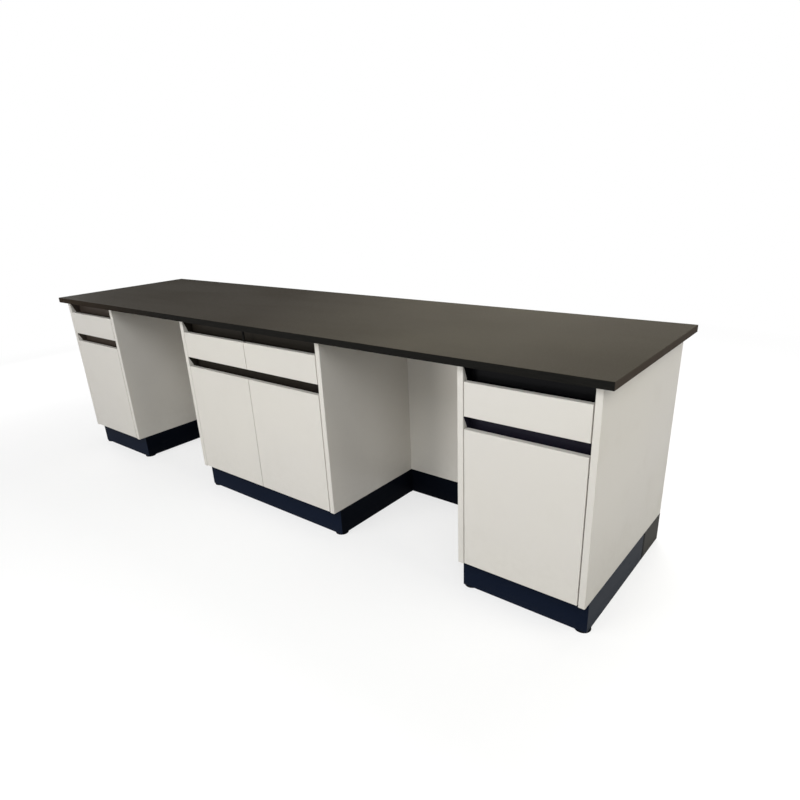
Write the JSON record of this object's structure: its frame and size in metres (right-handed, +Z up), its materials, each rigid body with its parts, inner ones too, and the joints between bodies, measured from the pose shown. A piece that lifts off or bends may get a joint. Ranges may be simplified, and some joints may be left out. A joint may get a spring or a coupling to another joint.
{
  "type": "laboratory bench",
  "caption": "Long laboratory wall bench with a dark slab worktop on white steel cabinets: drawers over doors with black finger-grip channels, knee spaces and dark plinths.",
  "frame": {"origin": "on the floor, under the middle of the worktop", "axes": "+X along the bench to the right as seen from the front, +Y to the back, +Z up"},
  "size_m": [3, 0.75, 0.835],
  "materials": {
    "white_steel": "off-white powder coat, semi-gloss",
    "dark_plinth": "blue-black powder coat, satin",
    "worktop": "charcoal compact laminate, fine matt texture",
    "black_channel": "black extruded profile, satin",
    "zinc_steel": "zinc-plated steel",
    "drawer_steel": "light grey powder coat"
  },
  "bodies": {
    "bench": {"worktop": "worktop", "left_side_panel_l": "white_steel", "left_side_panel_r": "white_steel", "left_back_panel": "white_steel", "left_floor_panel": "white_steel", "left_shelf": "white_steel", "left_top_grip_channel": "black_channel", "left_middle_grip_channel": "black_channel", "left_plinth": "dark_plinth", "middle_side_panel_l": "white_steel", "middle_side_panel_r": "white_steel", "middle_back_panel": "white_steel", "middle_floor_panel": "white_steel", "middle_shelf": "white_steel", "middle_top_grip_channel": "black_channel", "middle_middle_grip_channel": "black_channel", "middle_plinth": "dark_plinth", "right_side_panel_l": "white_steel", "right_side_panel_r": "white_steel", "right_back_panel": "white_steel", "right_floor_panel": "white_steel", "right_shelf": "white_steel", "right_top_grip_channel": "black_channel", "right_middle_grip_channel": "black_channel", "right_plinth": "dark_plinth", "middle_divider": "white_steel", "left_knee_panel": "white_steel", "left_knee_plinth": "dark_plinth", "left_end_plinth": "dark_plinth", "right_knee_panel": "white_steel", "right_knee_plinth": "dark_plinth", "right_end_plinth": "dark_plinth", "left_drawer_runner_l": "zinc_steel", "left_drawer_runner_r": "zinc_steel", "left_door_pivot_lower": "zinc_steel", "left_door_pivot_upper": "zinc_steel", "middle_left_drawer_runner_l": "zinc_steel", "middle_left_drawer_runner_r": "zinc_steel", "middle_left_door_pivot_lower": "zinc_steel", "middle_left_door_pivot_upper": "zinc_steel", "middle_right_drawer_runner_l": "zinc_steel", "middle_right_drawer_runner_r": "zinc_steel", "middle_right_door_pivot_lower": "zinc_steel", "middle_right_door_pivot_upper": "zinc_steel", "right_drawer_runner_l": "zinc_steel", "right_drawer_runner_r": "zinc_steel", "right_door_pivot_lower": "zinc_steel", "right_door_pivot_upper": "zinc_steel"},
    "left_drawer": {"left_drawer_front": "white_steel", "left_drawer_box": "drawer_steel"},
    "left_door": {"left_door": "white_steel"},
    "middle_left_drawer": {"middle_left_drawer_front": "white_steel", "middle_left_drawer_box": "drawer_steel"},
    "middle_left_door": {"middle_left_door": "white_steel"},
    "middle_right_drawer": {"middle_right_drawer_front": "white_steel", "middle_right_drawer_box": "drawer_steel"},
    "middle_right_door": {"middle_right_door": "white_steel"},
    "right_drawer": {"right_drawer_front": "white_steel", "right_drawer_box": "drawer_steel"},
    "right_door": {"right_door": "white_steel"}
  },
  "joints": [
    {"name": "left_drawer_slide", "type": "slide", "parent": "bench", "child": "left_drawer", "axis": [0, -1, 0], "range_m": [0, 0.33]},
    {"name": "middle_left_drawer_slide", "type": "slide", "parent": "bench", "child": "middle_left_drawer", "axis": [0, -1, 0], "range_m": [0, 0.33]},
    {"name": "middle_right_drawer_slide", "type": "slide", "parent": "bench", "child": "middle_right_drawer", "axis": [0, -1, 0], "range_m": [0, 0.33]},
    {"name": "right_drawer_slide", "type": "slide", "parent": "bench", "child": "right_drawer", "axis": [0, -1, 0], "range_m": [0, 0.33]},
    {"name": "left_door_hinge", "type": "hinge", "parent": "bench", "child": "left_door", "pos_m": [-1.424, -0.342, 0.361], "axis": [0, 0, -1], "range_deg": [0, 100]},
    {"name": "middle_left_door_hinge", "type": "hinge", "parent": "bench", "child": "middle_left_door", "pos_m": [-0.389, -0.342, 0.361], "axis": [0, 0, -1], "range_deg": [0, 100]},
    {"name": "middle_right_door_hinge", "type": "hinge", "parent": "bench", "child": "middle_right_door", "pos_m": [0.389, -0.342, 0.361], "axis": [0, 0, 1], "range_deg": [0, 100]},
    {"name": "right_door_hinge", "type": "hinge", "parent": "bench", "child": "right_door", "pos_m": [1.424, -0.342, 0.361], "axis": [0, 0, 1], "range_deg": [0, 100]}
  ]
}
